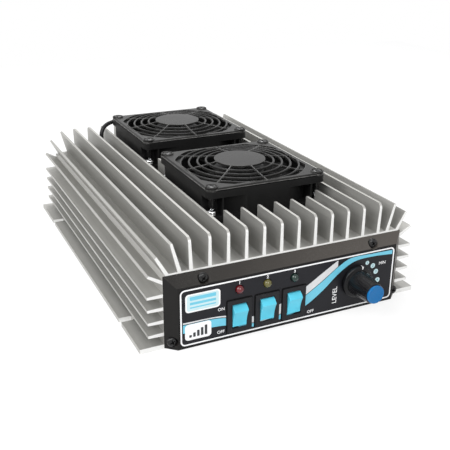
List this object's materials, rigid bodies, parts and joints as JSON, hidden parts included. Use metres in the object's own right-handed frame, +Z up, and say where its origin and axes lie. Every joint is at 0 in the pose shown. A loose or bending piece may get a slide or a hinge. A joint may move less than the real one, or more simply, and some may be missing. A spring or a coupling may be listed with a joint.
{
  "type": "hf linear amplifier",
  "caption": "Finned aluminium shortwave linear amplifier with guarded cooling fans on top, rocker switches, lamps and a power dial in front, and coaxial sockets behind.",
  "frame": {"origin": "middle of the underside, level with the surface that it stands on", "axes": "+X to the right seen from the front, +Y from the front panel to the rear, +Z up"},
  "size_m": [0.182, 0.2836, 0.0769],
  "materials": {
    "extruded_aluminium": "plain drawn surface, fine lines along its length",
    "sheet_aluminium": "mill finish",
    "panel_black": "satin moulded",
    "overlay_black": "printed film, semi-gloss",
    "lamp_red": "clear tinted resin, unlit",
    "lamp_yellow": "clear tinted resin, unlit",
    "lamp_green": "clear tinted resin, unlit",
    "switch_black": "fine moulded grain",
    "rocker_blue": "satin moulded",
    "knob_black": "satin moulded",
    "cap_blue": "smooth",
    "black_screw": "black coated",
    "bright_screw": "zinc plated",
    "steel": "turned",
    "nickel": "nickel plated",
    "contact_brass": "plated",
    "insulator_cream": "moulded resin",
    "rubber_black": "soft",
    "board_green": "solder mask",
    "ceramic": "ceramic and gold flange",
    "ferrite": "sintered",
    "copper_wire": "enamelled copper",
    "relay_white": "moulded case",
    "can_blue": "sleeved can",
    "fuse_red": "moulded",
    "fan_black": "glass-filled moulding",
    "guard_black": "satin moulded, worn ring tops",
    "magnet_grey": "bonded magnet in a steel cup"
  },
  "bodies": {
    "chassis": {"heatsink": "extruded_aluminium", "bottom_cover": "sheet_aluminium", "cover_screws_set": "bright_screw", "front_panel": "panel_black", "front_label": "overlay_black", "front_panel_screws": "black_screw", "lamp_red": "lamp_red", "lamp_yellow": "lamp_yellow", "lamp_green": "lamp_green", "lamp_board": "board_green", "switch_body_left": "switch_black", "switch_body_middle": "switch_black", "switch_body_right": "switch_black", "switch_terminals": "contact_brass", "dial_switch": "steel", "dial_nut": "nickel", "rear_panel": "panel_black", "rear_panel_screws": "black_screw", "antenna_socket": "nickel", "radio_socket": "nickel", "socket_insulators": "insulator_cream", "socket_contacts": "contact_brass", "socket_screws": "bright_screw", "supply_bush": "rubber_black", "circuit_board": "board_green", "board_spacers": "steel", "inside_screws": "bright_screw", "power_transistors": "ceramic", "input_transformer": "ferrite", "output_transformer": "ferrite", "filter_coils": "copper_wire", "supply_choke": "copper_wire", "relays": "relay_white", "capacitors": "can_blue", "fuse_holder": "switch_black", "fuses": "fuse_red", "fan_frame_front": "fan_black", "fan_frame_rear": "fan_black", "fan_guard_front": "guard_black", "fan_guard_rear": "guard_black", "guard_screws": "black_screw", "fan_screws": "bright_screw", "fan_washers": "bright_screw", "fan_bearings": "contact_brass", "fan_windings": "copper_wire", "fan_lead": "rubber_black", "lead_grommet": "rubber_black"},
    "left_rocker": {"rocker_left": "rocker_blue"},
    "middle_rocker": {"rocker_middle": "rocker_blue"},
    "right_rocker": {"rocker_right": "rocker_blue"},
    "dial": {"knob": "knob_black", "knob_cap": "cap_blue", "dial_shaft": "steel"},
    "front_rotor": {"fan_rotor_front": "fan_black", "fan_shaft_front": "steel", "fan_magnets_front": "magnet_grey"},
    "rear_rotor": {"fan_rotor_rear": "fan_black", "fan_shaft_rear": "steel", "fan_magnets_rear": "magnet_grey"}
  },
  "joints": [
    {"name": "left_rocker_tilt", "type": "hinge", "parent": "chassis", "child": "left_rocker", "pos_m": [-0.0344, -0.1234, 0.0142], "axis": [-1, 0, 0], "range_deg": [0, 30]},
    {"name": "middle_rocker_tilt", "type": "hinge", "parent": "chassis", "child": "middle_rocker", "pos_m": [-0.017, -0.1234, 0.0142], "axis": [-1, 0, 0], "range_deg": [0, 30]},
    {"name": "right_rocker_tilt", "type": "hinge", "parent": "chassis", "child": "right_rocker", "pos_m": [0.0004, -0.1234, 0.0142], "axis": [-1, 0, 0], "range_deg": [0, 30]},
    {"name": "dial_turn", "type": "hinge", "parent": "chassis", "child": "dial", "pos_m": [0.0424, -0.135, 0.0198], "axis": [0, 1, 0], "range_deg": [0, 150]},
    {"name": "front_rotor_spin", "type": "hinge", "parent": "chassis", "child": "front_rotor", "pos_m": [0.0055, -0.0435, 0.062], "axis": [0, 0, 1], "continuous": true},
    {"name": "rear_rotor_spin", "type": "hinge", "parent": "chassis", "child": "rear_rotor", "pos_m": [0.0055, 0.0645, 0.062], "axis": [0, 0, 1], "continuous": true}
  ]
}
